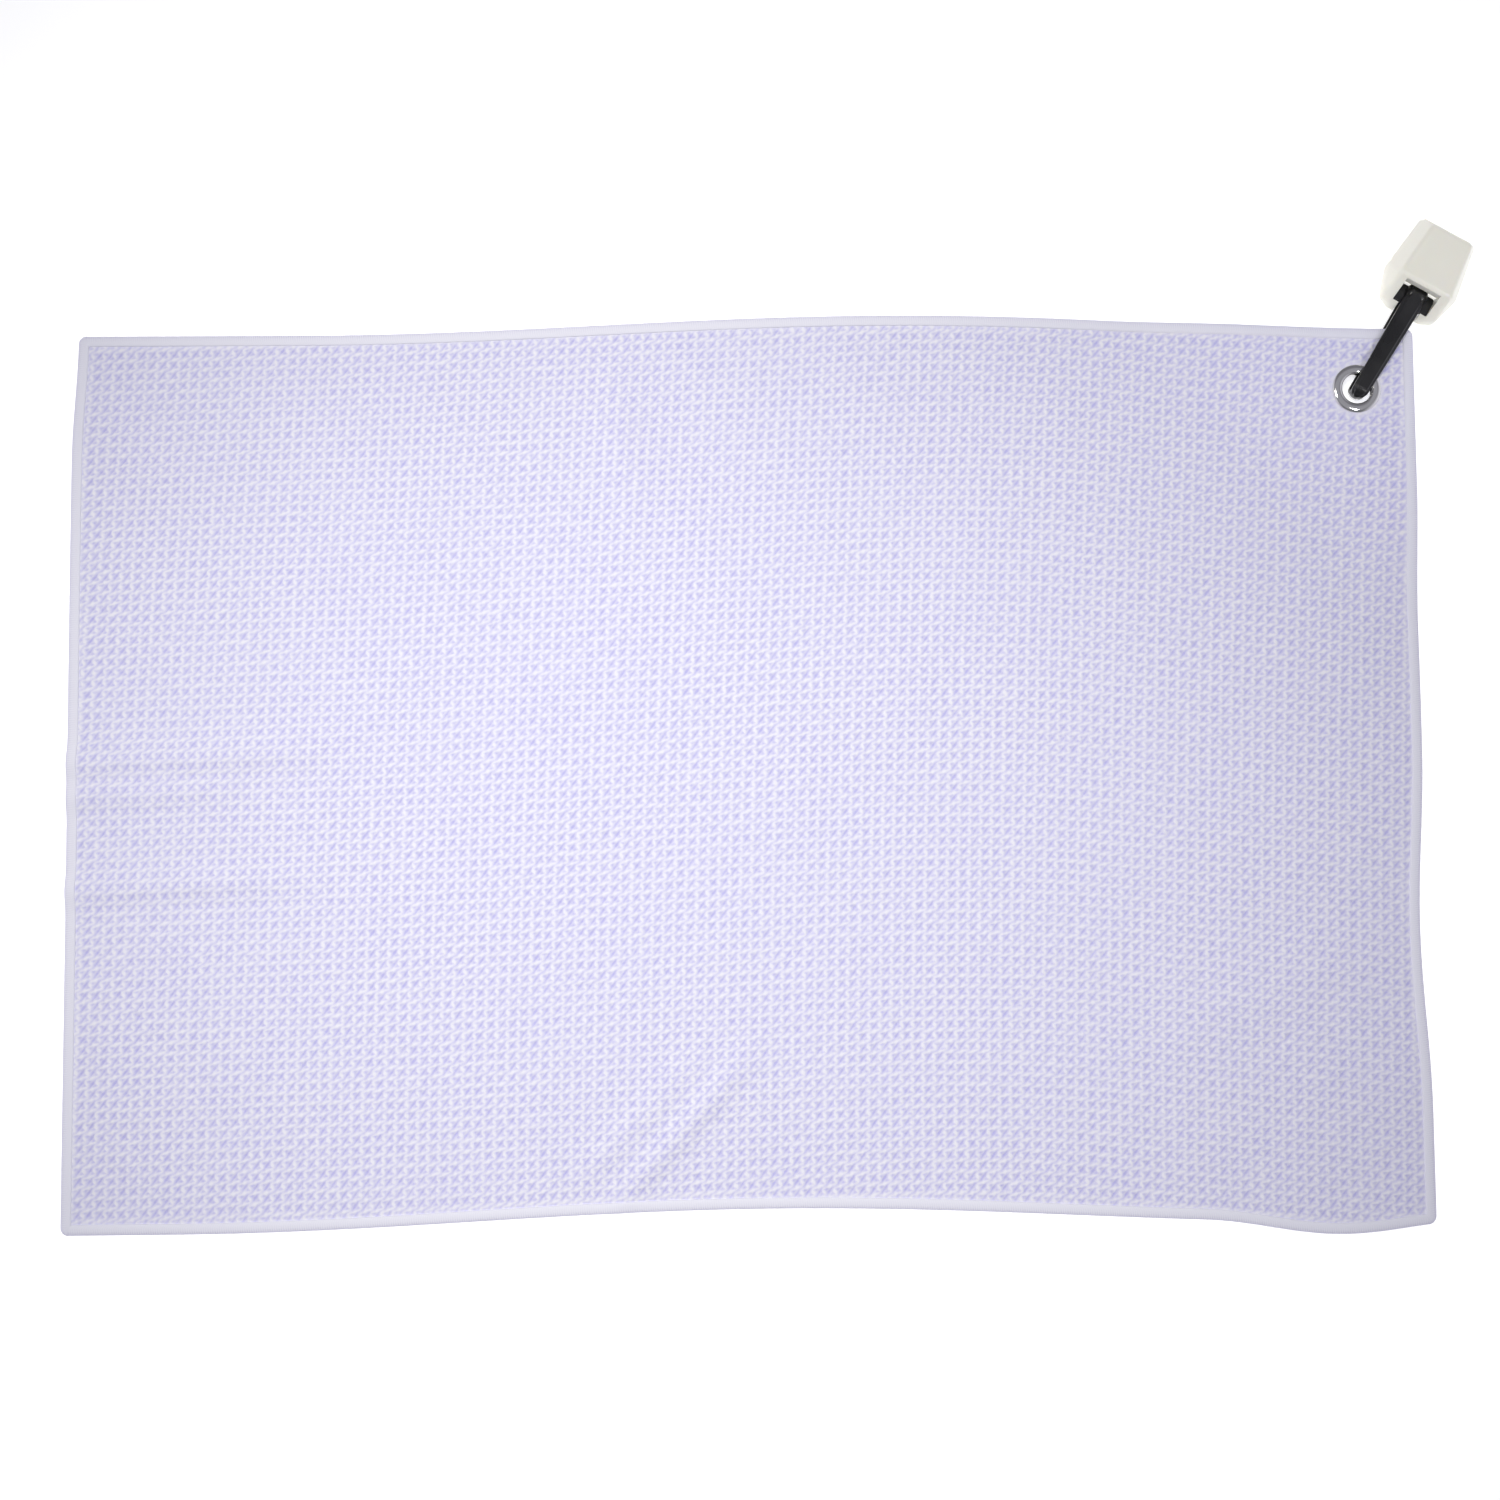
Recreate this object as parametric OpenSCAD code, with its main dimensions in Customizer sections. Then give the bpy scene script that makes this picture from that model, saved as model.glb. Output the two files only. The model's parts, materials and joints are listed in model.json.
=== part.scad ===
// Golf towel with a corner eyelet, a strap loop through it and a sprung bag clip.
// All sizes are in millimetres. The towel lies flat with its long side along X and its
// underside on Z = 0, and the origin is in the middle of that underside.

/* [Towel] */
// Length of the towel, hem included
towel_length = 600; // [500:10:700]
// Width of the towel, hem included
towel_width = 396; // [300:2:450]
// Thickness of the waffle cloth over its ridges
cloth_thickness = 2.2; // [1.8:0.1:2.4]
// Width of the overlocked hem
hem_width = 5; // [3:0.5:6]
// Thickness of the overlocked hem
hem_thickness = 2.6; // [2.2:0.1:2.8]
// Radius of the towel's corners
corner_radius = 3.6; // [1:0.2:8]
// How far the long edges bow sideways as the towel lies
bow_height = 8.4; // [0:0.2:12]
// How far the bottom edge dips near its right end
dip_depth = 5.4; // [0:0.2:8]

/* [Eyelet] */
// Distance of the eyelet's centre from the right edge
eyelet_inset_x = 26.4; // [24:0.2:30]
// Distance of the eyelet's centre from the top edge
eyelet_inset_y = 27.2; // [24:0.2:30]
// Radius of the eyelet's clear hole
eyelet_hole_radius = 6.7; // [6.5:0.1:7]
// Outer radius of the eyelet's flanges
eyelet_flange_radius = 11; // [10:0.2:12]
// Thickness of each flange
flange_thickness = 1.65; // [1.4:0.05:1.7]

/* [Strap loop] */
// Direction of the strap as it lies, counted from +X
strap_direction = 58.1; // [40:0.1:75]
// Distance from the eyelet's centre to the middle of the strap's head
strap_length = 50.4; // [49:0.2:60]
// Thickness of each limb of the loop
limb_thickness = 2.2; // [1.8:0.1:2.2]
// Height of the whole loop
loop_height = 9.7; // [9.7:0.1:10]
// Width of the strap at its head
strap_root_width = 9.5; // [8:0.1:9.8]
// Width of the strap at its round tip
strap_tip_width = 7.4; // [6:0.1:7.4]
// Width of the head over its two wings
head_width = 16.8; // [15:0.1:16.8]

/* [Clip] */
// Height of the clip over its closed jaw
clip_height = 15.5; // [15:0.1:17]
// Wall thickness of the clip's shell
clip_wall = 2; // [1.8:0.1:2]
// Width of the clip at its widest place
clip_width = 35.2; // [34:0.1:36]
// Width of the clip at its mouth
mouth_width = 27.4; // [26:0.1:28]
// Radius of the jaw's hinge pin
pin_radius = 1.25; // [1:0.05:1.3]

/* [Hidden] */
$fn = 48;

// Room that cuts reach past a face, height of the tallest cuts, overlap of joined solids,
// thickness of the slabs that shapes are stretched between, and clearance of turning fits
margin = 1;
tall = 20;
overlap = 0.2;
slab = 0.5;
running_fit = 0.05;

// Towel: the sideways bow's middle on the top and bottom edges, the bottom edge's dip,
// and the lifted corner that the strap passes under
top_bow_x = 64;
bottom_bow_x = 10;
bow_reach = 260;
dip_x = 258;
dip_reach = 60;
bow_steps = 40;
corner_steps = 4;
least_radius = 0.2;
far = 700;
loop_middle = loop_height / 2;
corner_lift = loop_middle - cloth_thickness / 2;
corner_diagonal = (towel_length + towel_width) / 2 / sqrt(2);
lifted_reach = 48;
ramp_reach = 30;
ramp_top = corner_diagonal - lifted_reach;
ramp_foot = ramp_top - ramp_reach;
eyelet_x = towel_length / 2 - eyelet_inset_x;
eyelet_y = towel_width / 2 - eyelet_inset_y;

// Eyelet: the cloth is pinched between its flanges
pinched_cloth = 1.2;
barrel_wall = 0.7;
barrel_radius = eyelet_hole_radius + barrel_wall;

// Strap loop, along its own X from the eyelet's centre
strap_side_shift = -1.3;
tip_x = -3.8;
tip_radius = strap_tip_width / 2;
limb_gap = loop_height - 2 * limb_thickness;
head_turn = 2.5;
spine_width = 10.5;
wing_near = -5.8;
wing_far = 2.6;
wing_thickness = 2.8;
wing_corner = 1.2;
trunnion_radius = 1.4;
trunnion_length = 1.6;

// Clip, along its own X from the trunnions' axis
nose_x = -8.4;
nose_half = 8.5;
shoulder_x = -6;
shoulder_half = 13.5;
widest_x = 7.6;
far_x = 34;
top_near_x = 2.6;
top_near_half = 12.6;
top_far_x = 28.6;
top_far_half = 9.9;
edge_round = 1.6;
edge_facets = 16;
skirt_z = 0.4;
skirt_end_x = 10.3;
rim_z = 3.6;
top_bevel = 0.9;
window_far_x = 1.6;
window_near_x = -6.2;
window_half = 8.5;
neck_half = 5.5;
spine_room = 0.3;
cheek_thickness = 2;
cheek_far_x = 3.2;
trunnion_bore = trunnion_radius + running_fit;
bulkhead_x = 14;
bulkhead_z = 4.4;
rib_thickness = 1.5;
bar_x = 27;
bar_z = 4.2;
bar_thickness = 2.2;

// Jaw and hinge
pin_x = 8.4;
pin_z = 6;
pin_half_length = 14.2;
lug_radius = 2.7;
lug_bore = pin_radius + running_fit;
lug_foot = 3.6;
lug_inner = 9.2;
lug_outer = 11.7;
boss_radius = 3;
boss_inner = 12;
boss_length = 6;
jaw_thickness = 2.6;
jaw_near_x = 6.4;
jaw_step_x = 12.5;
jaw_neck_half = 13.1;
toe_x = 36.4;
toe_half = 12;
toe_lip = 0.8;
pad_near_x = 27.5;
pad_far_x = 33;
pad_half = 10.5;
pad_seat = 0.5;
lower_pad_top = 3.3;
upper_pad_bottom = 3.5;

// Spring
wire_radius = 0.45;
coil_radius = 2.55;
coil_half = 3.2;
leg_offset = 2.45;
leg_inset = 0.6;
jaw_leg_length = 5.1;
body_leg_rise = 24;
body_leg_length = 4.6;

// A smooth hump of the given height, round its middle
function hump(x, height, middle, reach) = height / 2 * (1 + cos(180 * min(1, abs(x - middle) / reach)));

// How far the top edge (side 1) or the bottom edge (side -1) lies from a straight line at x
function bow(x, side) = side > 0
    ? hump(x, bow_height, top_bow_x, bow_reach)
    : hump(x, bow_height, bottom_bow_x, bow_reach) - hump(x, dip_depth, dip_x, dip_reach);

// Points of one rounded corner, centred on (cx, cy), from angle a on
function corner(cx, cy, a, r) = [for (i = [0:corner_steps]) let (turn = a + 90 * i / corner_steps)
    [cx + r * cos(turn), cy + r * sin(turn)]];

// Points of the top edge (side 1) or the bottom edge (side -1), between the corners' roundings
function long_edge(half_l, half_w, r, side) =
    [for (i = [1:bow_steps - 1]) let (x = side * (half_l - r) * (1 - 2 * i / bow_steps))
        [x, side * half_w + bow(x, side)]];

// The towel's plan, inset by the given distance
module towel_plan(inset) {
    half_l = towel_length / 2 - inset;
    half_w = towel_width / 2 - inset;
    r = max(least_radius, corner_radius - inset);
    end_x = half_l - r;
    polygon(concat(
        corner(end_x, half_w - r + bow(end_x, 1), 0, r),
        long_edge(half_l, half_w, r, 1),
        corner(-end_x, half_w - r, 90, r),
        corner(-end_x, r - half_w, 180, r),
        long_edge(half_l, half_w, r, -1),
        corner(end_x, r - half_w + bow(end_x, -1), 270, r)));
}

// A level layer of the given thickness that climbs to the lifted corner, larger than the towel
module draped_layer(thickness) {
    rotate([0, 0, 45]) rotate([90, 0, 0]) linear_extrude(height = 2 * far, center = true)
        polygon([
            [-far, 0], [ramp_foot, 0], [ramp_top, corner_lift], [far, corner_lift],
            [far, corner_lift + thickness], [ramp_top, corner_lift + thickness],
            [ramp_foot, thickness], [-far, thickness]]);
}

module at_eyelet() {
    translate([eyelet_x, eyelet_y, 0]) children();
}

module at_strap() {
    at_eyelet() rotate([0, 0, strap_direction]) translate([0, strap_side_shift, 0]) children();
}

module at_clip() {
    at_strap() translate([strap_length, 0, 0]) rotate([0, 0, head_turn]) children();
}

// A cylinder across the clip, centred on its middle plane
module cross_cylinder(x, z, r, width) {
    translate([x, 0, z]) rotate([90, 0, 0]) cylinder(r = r, h = width, center = true);
}

// A box from x0 to x1 and z0 to z1, centred across the clip
module cross_box(x0, x1, half, z0, z1) {
    translate([x0, -half, z0]) cube([x1 - x0, 2 * half, z1 - z0]);
}

module towel_cloth() {
    pinch = (cloth_thickness - pinched_cloth) / 2;
    color([0.87, 0.86, 0.96]) difference() {
        intersection() {
            draped_layer(cloth_thickness);
            linear_extrude(height = tall) towel_plan(hem_width);
        }
        at_eyelet() {
            cylinder(r = barrel_radius + running_fit, h = tall);
            translate([0, 0, corner_lift - margin]) cylinder(r = eyelet_flange_radius, h = margin + pinch);
            translate([0, 0, corner_lift + cloth_thickness - pinch])
                cylinder(r = eyelet_flange_radius, h = tall);
        }
    }
}

// The part of the hem that lies in the given range of x and y
module hem(x0, x1, y0, y1) {
    color([0.95, 0.95, 0.97]) intersection() {
        draped_layer(hem_thickness);
        linear_extrude(height = tall) intersection() {
            difference() {
                towel_plan(0);
                towel_plan(hem_width);
            }
            translate([x0, y0]) square([x1 - x0, y1 - y0]);
        }
    }
}

module hem_top() {
    hem(hem_width - towel_length / 2, towel_length / 2 - hem_width, 0, far);
}

module hem_bottom() {
    hem(hem_width - towel_length / 2, towel_length / 2 - hem_width, -far, 0);
}

module hem_left() {
    hem(-far, hem_width - towel_length / 2, -far, far);
}

module hem_right() {
    hem(towel_length / 2 - hem_width, far, -far, far);
}

// A flange's section, round at both rims, from the inner radius to the flange's own
module flange_section(inner) {
    round_r = flange_thickness / 2;
    translate([inner + round_r, 0]) circle(r = round_r);
    translate([eyelet_flange_radius - round_r, 0]) circle(r = round_r);
    translate([inner + round_r, -round_r])
        square([eyelet_flange_radius - inner - 2 * round_r, flange_thickness]);
}

module eyelet_front() {
    color([0.8, 0.8, 0.82]) at_eyelet() rotate_extrude() {
        translate([0, loop_middle + (pinched_cloth + flange_thickness) / 2])
            flange_section(eyelet_hole_radius);
        translate([eyelet_hole_radius, loop_middle - pinched_cloth / 2 - flange_thickness / 2])
            square([barrel_wall, pinched_cloth + flange_thickness]);
    }
}

module eyelet_back() {
    color([0.78, 0.78, 0.8]) at_eyelet() rotate_extrude()
        translate([0, loop_middle - (pinched_cloth + flange_thickness) / 2])
            flange_section(barrel_radius);
}

// The strap's plan: a long taper with a round tip
module strap_plan() {
    translate([tip_x + tip_radius, 0]) circle(r = tip_radius);
    polygon([
        [tip_x + tip_radius, -tip_radius], [strap_length, -strap_root_width / 2],
        [strap_length, strap_root_width / 2], [tip_x + tip_radius, tip_radius]]);
}

// A bar with round ends, centred on the loop's middle height
module round_bar(x0, x1, height) {
    translate([x0, loop_middle]) circle(d = height);
    translate([x1, loop_middle]) circle(d = height);
    translate([x0, loop_middle - height / 2]) square([x1 - x0, height]);
}

// The loop's side section: two limbs joined by a round bend at the tip
module loop_section() {
    bend_x = tip_x + loop_height / 2;
    difference() {
        round_bar(bend_x, strap_length, loop_height);
        round_bar(bend_x, strap_length - loop_height / 2, limb_gap);
    }
}

// The head: a round spine, two flat wings and a trunnion on each end
module strap_head() {
    cross_cylinder(0, loop_middle, loop_height / 2, spine_width);
    cross_cylinder(0, loop_middle, trunnion_radius, head_width + 2 * trunnion_length);
    translate([0, 0, loop_middle - wing_thickness / 2]) linear_extrude(height = wing_thickness) {
        translate([wing_near, -head_width / 2])
            square([wing_far - wing_near - wing_corner, head_width]);
        translate([wing_near, wing_corner - head_width / 2])
            square([wing_far - wing_near, head_width - 2 * wing_corner]);
        for (side = [-1, 1])
            translate([wing_far - wing_corner, side * (head_width / 2 - wing_corner)])
                circle(r = wing_corner);
    }
}

module strap_loop() {
    color([0.08, 0.08, 0.09]) {
        at_strap() intersection() {
            linear_extrude(height = loop_height) strap_plan();
            rotate([90, 0, 0]) linear_extrude(height = tall, center = true) loop_section();
        }
        at_clip() strap_head();
    }
}

// The clip's plan at its base, with slightly rounded corners, inset by the given distance
module clip_plan(inset) {
    offset(r = edge_round, $fn = edge_facets) offset(delta = -edge_round - inset) polygon([
        [nose_x, -nose_half], [shoulder_x, -shoulder_half], [widest_x, -clip_width / 2],
        [far_x, -mouth_width / 2], [far_x, mouth_width / 2], [widest_x, clip_width / 2],
        [shoulder_x, shoulder_half], [nose_x, nose_half]]);
}

// The clip's flat top, inset by the given distance
module clip_top_plan(inset) {
    offset(delta = -inset) polygon([
        [top_near_x, -top_near_half], [top_far_x, -top_far_half],
        [top_far_x, top_far_half], [top_near_x, top_near_half]]);
}

// The clip's outer shape: drafted sides and a face that slopes down to the strap
module clip_envelope() {
    hull() {
        translate([0, 0, rim_z]) linear_extrude(height = slab) clip_plan(0);
        translate([0, 0, clip_height - top_bevel - slab]) linear_extrude(height = slab) clip_top_plan(0);
        translate([0, 0, clip_height - slab]) linear_extrude(height = slab) clip_top_plan(top_bevel);
    }
    translate([0, 0, skirt_z]) linear_extrude(height = rim_z - skirt_z + overlap) intersection() {
        clip_plan(0);
        translate([nose_x - margin, -clip_width]) square([skirt_end_x - nose_x + margin, 2 * clip_width]);
    }
}

module clip_cavity() {
    hull() {
        translate([0, 0, rim_z]) linear_extrude(height = slab) clip_plan(clip_wall);
        translate([0, 0, clip_height - clip_wall - slab]) linear_extrude(height = slab)
            clip_top_plan(clip_wall);
    }
    linear_extrude(height = rim_z + overlap) clip_plan(clip_wall);
}

// What stands inside the shell: window cheeks, pin bosses, a bulkhead and the jaw bar
module clip_ribs() {
    for (side = [-1, 1]) {
        translate([nose_x, side * (window_half + cheek_thickness / 2) - cheek_thickness / 2, skirt_z])
            cube([cheek_far_x - nose_x, cheek_thickness, clip_height]);
        translate([pin_x, side * (boss_inner + boss_length / 2), pin_z]) rotate([90, 0, 0])
            cylinder(r = boss_radius, h = boss_length, center = true);
    }
    cross_box(bulkhead_x, bulkhead_x + rib_thickness, clip_width / 2, bulkhead_z, clip_height);
    cross_box(bar_x, far_x, clip_width / 2, bar_z, bar_z + bar_thickness);
}

module clip_body() {
    color([0.93, 0.93, 0.89]) at_clip() difference() {
        union() {
            difference() {
                clip_envelope();
                clip_cavity();
            }
            intersection() {
                clip_envelope();
                clip_ribs();
            }
        }
        cross_box(window_near_x, window_far_x, window_half, -margin, clip_height + margin);
        cross_box(nose_x - margin, window_near_x + overlap, neck_half, -margin, clip_height + margin);
        cross_cylinder(0, loop_middle, loop_height / 2 + spine_room, 2 * neck_half);
        cross_cylinder(0, loop_middle, trunnion_bore, 2 * (window_half + cheek_thickness + margin));
        cross_cylinder(pin_x, pin_z, pin_radius, 2 * pin_half_length);
        cross_box(pad_near_x, pad_far_x, pad_half, bar_z - margin, bar_z + pad_seat);
    }
}

// The jaw's plan: narrow between the shell's skirts and as wide as the clip beyond them
module jaw_plan() {
    translate([jaw_near_x, -jaw_neck_half]) square([jaw_step_x - jaw_near_x + margin, 2 * jaw_neck_half]);
    intersection() {
        clip_plan(0);
        translate([jaw_step_x, -clip_width]) square([far_x, 2 * clip_width]);
    }
}

module clip_jaw() {
    color([0.92, 0.92, 0.88]) at_clip() difference() {
        union() {
            linear_extrude(height = jaw_thickness) jaw_plan();
            rotate([90, 0, 0]) linear_extrude(height = 2 * toe_half, center = true)
                polygon([[far_x - margin, 0], [toe_x, 0], [toe_x, toe_lip], [far_x, jaw_thickness],
                    [far_x - margin, jaw_thickness]]);
            for (side = [-1, 1]) translate([pin_x, side * (lug_inner + lug_outer) / 2, 0]) {
                translate([0, 0, pin_z]) rotate([90, 0, 0])
                    cylinder(r = lug_radius, h = lug_outer - lug_inner, center = true);
                translate([0, 0, pin_z / 2])
                    cube([lug_foot, lug_outer - lug_inner, pin_z], center = true);
            }
        }
        cross_cylinder(pin_x, pin_z, lug_bore, 2 * (lug_outer + margin));
        cross_box(pad_near_x, pad_far_x, pad_half, jaw_thickness - pad_seat, jaw_thickness + margin);
    }
}

module hinge_pin() {
    color([0.6, 0.6, 0.62]) at_clip() cross_cylinder(pin_x, pin_z, pin_radius, 2 * pin_half_length);
}

// A plain tube for the closed coil round the pin, with one leg along the jaw and one up to the shell
module torsion_spring() {
    color([0.65, 0.65, 0.68]) at_clip() {
        difference() {
            cross_cylinder(pin_x, pin_z, coil_radius + wire_radius, 2 * coil_half);
            cross_cylinder(pin_x, pin_z, coil_radius - wire_radius, 2 * (coil_half + margin));
        }
        translate([pin_x, coil_half - leg_inset, pin_z - leg_offset]) rotate([0, 90, 0])
            cylinder(r = wire_radius, h = jaw_leg_length);
        translate([pin_x, leg_inset - coil_half, pin_z]) rotate([0, 90 - body_leg_rise, 0])
            translate([-leg_offset, 0, 0]) cylinder(r = wire_radius, h = body_leg_length);
    }
}

module upper_pad() {
    color([0.2, 0.2, 0.21]) at_clip()
        cross_box(pad_near_x, pad_far_x, pad_half, upper_pad_bottom, bar_z + pad_seat);
}

module lower_pad() {
    color([0.2, 0.2, 0.21]) at_clip()
        cross_box(pad_near_x, pad_far_x, pad_half, jaw_thickness - pad_seat, lower_pad_top);
}

towel_cloth();
hem_top();
hem_bottom();
hem_left();
hem_right();
eyelet_front();
eyelet_back();
strap_loop();
clip_body();
clip_jaw();
hinge_pin();
torsion_spring();
upper_pad();
lower_pad();
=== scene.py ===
"""A golf towel: waffle cloth with overlocked hems, a corner eyelet, a moulded strap and a sprung bag clip.

Shapes are worked out in millimetres, and make_mesh turns them into metres. The towel lies along X, the strap
and the clip each have a frame of their own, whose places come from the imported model's joints.
"""

import json
import math

import bmesh
import bpy
import numpy as np
from mathutils import Matrix, Vector


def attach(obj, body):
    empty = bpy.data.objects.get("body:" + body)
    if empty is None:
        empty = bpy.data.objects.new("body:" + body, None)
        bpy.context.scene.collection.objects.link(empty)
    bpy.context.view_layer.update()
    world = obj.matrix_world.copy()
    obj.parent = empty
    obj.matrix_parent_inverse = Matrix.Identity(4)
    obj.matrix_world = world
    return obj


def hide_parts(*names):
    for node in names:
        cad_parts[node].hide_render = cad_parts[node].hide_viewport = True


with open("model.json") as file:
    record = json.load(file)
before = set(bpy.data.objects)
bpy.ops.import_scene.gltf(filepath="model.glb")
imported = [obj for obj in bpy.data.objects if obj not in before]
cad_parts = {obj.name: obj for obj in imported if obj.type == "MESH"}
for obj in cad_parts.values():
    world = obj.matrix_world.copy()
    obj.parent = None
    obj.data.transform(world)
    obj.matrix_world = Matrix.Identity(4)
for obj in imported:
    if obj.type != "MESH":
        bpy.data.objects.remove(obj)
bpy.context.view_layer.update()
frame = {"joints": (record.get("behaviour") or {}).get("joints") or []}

MM = 0.001
UP = Vector((0, 0, 1))

# Towel, in millimetres: its cut, its hem and how its long edges bow as it lies
LENGTH = 600.0
WIDTH = 396.0
HEM_WIDTH = 5.0
HEM_THICKNESS = 2.6
CORNER_RADIUS = 3.6
CLOTH_THICKNESS = 2.2
BOW_HEIGHT = 8.4
BOW_REACH = 260.0
TOP_BOW_X = 64.0
BOTTOM_BOW_X = 10.0
DIP_DEPTH = 5.4
DIP_X = 258.0
DIP_REACH = 60.0

# Weave: the size of a waffle cell and how deep its pits are on each face
CELL_X = 4.8
CELL_Y = 4.72
CELL_STEPS = 4
FACE_RELIEF = 1.0
BACK_RELIEF = 0.7
TWIST = 0.1

# How far in the short edges are drawn: depth, where along the edge, and reach to either side
RIGHT_DENT = (3.2, -70, 80)
LEFT_DENT = (2.4, 200, 60)

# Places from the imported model
joints = {joint["name"]: joint for joint in frame["joints"]}
eyelet = Vector(joints["strap_swing"]["pos_m"]) / MM
head = Vector(joints["clip_tilt"]["pos_m"]) / MM
pin = Vector(joints["jaw_open"]["pos_m"]) / MM
clip_left = Vector(joints["jaw_open"]["axis"])
clip_along = clip_left.cross(UP)
LOOP_MIDDLE = eyelet.z


# ---- camera, light and floor

# Lens and sensor in millimetres, place in metres, turns in radians
LENS = 43.38
SENSOR = 36
CAMERA_PLACE = (-0.0119, -0.0374, 0.8)
CAMERA_TILT = 0.0604
CAMERA_LEAN = -0.0156
CAMERA_ROLL = -0.0071

# Lamps: metres, watts and the cone's angle in degrees
KEY_LAMP = {"power": 65.5, "colour": (1.0, 0.985, 0.90), "size": 0.16, "cone": 40,
            "place": (-0.3, 0.25, 1.4), "target": (-0.031, -0.02, 0)}
CLIP_LAMP = {"power": 20, "colour": (1.0, 1.0, 1.0), "size": 0.1, "cone": 13,
             "place": (0.6, -0.1, 1.1), "target": (0.32, 0.245, 0.01)}

# The studio, and its panels: where each begins and is full along its direction, and its strength
STUDIO_COLOUR = (0.9, 0.9, 1.0, 1)
STUDIO_STRENGTH = 0.19
SIDE_PANELS = (0.5, 0.85, 0.62)
OVERHEAD_PANEL = (0.8, 0.9, 0.15)

FLOOR_REACH = 6.0
FLOOR_DROP = 0.0002
FLOOR_COLOUR = (0.95, 0.95, 0.95)
FLOOR_ROUGHNESS = 0.9
FLOOR_GLOW = 0.56


def add_camera():
    """The camera looks down on the towel from above its lower edge."""
    data = bpy.data.cameras.new("camera")
    data.lens = LENS
    data.sensor_width = SENSOR
    camera = bpy.data.objects.new("camera", data)
    tilt = Matrix.Rotation(CAMERA_TILT, 4, "X") @ Matrix.Rotation(CAMERA_LEAN, 4, "Y")
    roll = Matrix.Rotation(CAMERA_ROLL, 4, "Z")
    camera.matrix_world = Matrix.Translation(CAMERA_PLACE) @ tilt @ roll
    bpy.context.scene.collection.objects.link(camera)
    bpy.context.scene.camera = camera


def add_lamp(name, power, colour, size, cone, place, target):
    """A soft spot lamp whose light fades from the middle of its cone to the edge."""
    data = bpy.data.lights.new(name, "SPOT")
    data.energy = power
    data.color = colour
    data.shadow_soft_size = size
    data.spot_size = math.radians(cone)
    data.spot_blend = 1.0
    lamp = bpy.data.objects.new(name, data)
    aim = Vector(target) - Vector(place)
    lamp.matrix_world = Matrix.Translation(place) @ aim.to_track_quat("-Z", "Y").to_matrix().to_4x4()
    bpy.context.scene.collection.objects.link(lamp)


def set_range(node, low, high, start, end):
    """Sets a Map Range node so that low to high gives numbers from start to end."""
    for name, number in (("From Min", low), ("From Max", high), ("To Min", start), ("To Max", end)):
        node.inputs[name].default_value = number


def add_world():
    """A dim studio with bright panels at both sides and overhead, which polished metal reflects."""
    world = bpy.data.worlds.new("studio")
    world.use_nodes = True
    tree = world.node_tree
    background = tree.nodes["Background"]
    background.inputs["Color"].default_value = STUDIO_COLOUR
    direction = tree.nodes.new("ShaderNodeTexCoord").outputs["Generated"]
    parts = tree.nodes.new("ShaderNodeSeparateXYZ")
    tree.links.new(direction, parts.inputs["Vector"])
    sideways, panels, total = (tree.nodes.new("ShaderNodeMath") for _ in range(3))
    sideways.operation = "ABSOLUTE"
    tree.links.new(parts.outputs["X"], sideways.inputs[0])
    for output, (low, high, strength), socket in ((sideways.outputs["Value"], SIDE_PANELS, 0),
                                                  (parts.outputs["Z"], OVERHEAD_PANEL, 1)):
        panel = tree.nodes.new("ShaderNodeMapRange")
        set_range(panel, low, high, 0.0, strength)
        tree.links.new(output, panel.inputs["Value"])
        tree.links.new(panel.outputs["Result"], panels.inputs[socket])
    total.inputs[1].default_value = STUDIO_STRENGTH
    tree.links.new(panels.outputs["Value"], total.inputs[0])
    tree.links.new(total.outputs["Value"], background.inputs["Strength"])
    bpy.context.scene.world = world


def add_floor():
    """A wide white floor that glows faintly, a hair below the towel."""
    mesh = bpy.data.meshes.new("floor")
    corners = [(x * FLOOR_REACH, y * FLOOR_REACH, 0) for x, y in ((-1, -1), (1, -1), (1, 1), (-1, 1))]
    mesh.from_pydata(corners, [], [(0, 1, 2, 3)])
    floor = bpy.data.objects.new("floor", mesh)
    floor.location.z = -FLOOR_DROP
    bpy.context.scene.collection.objects.link(floor)
    material, shader = new_material("floor_white", FLOOR_COLOUR, FLOOR_ROUGHNESS)
    shader.inputs["Emission Color"].default_value = (1, 1, 1, 1)
    shader.inputs["Emission Strength"].default_value = FLOOR_GLOW
    mesh.materials.append(material)


# ---- material helpers

def new_material(name, colour, roughness):
    """A material with its Principled shader set to one colour and roughness."""
    material = bpy.data.materials.new(name)
    material.use_nodes = True
    shader = material.node_tree.nodes["Principled BSDF"]
    shader.inputs["Base Color"].default_value = (*colour, 1)
    shader.inputs["Roughness"].default_value = roughness
    return material, shader


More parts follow.
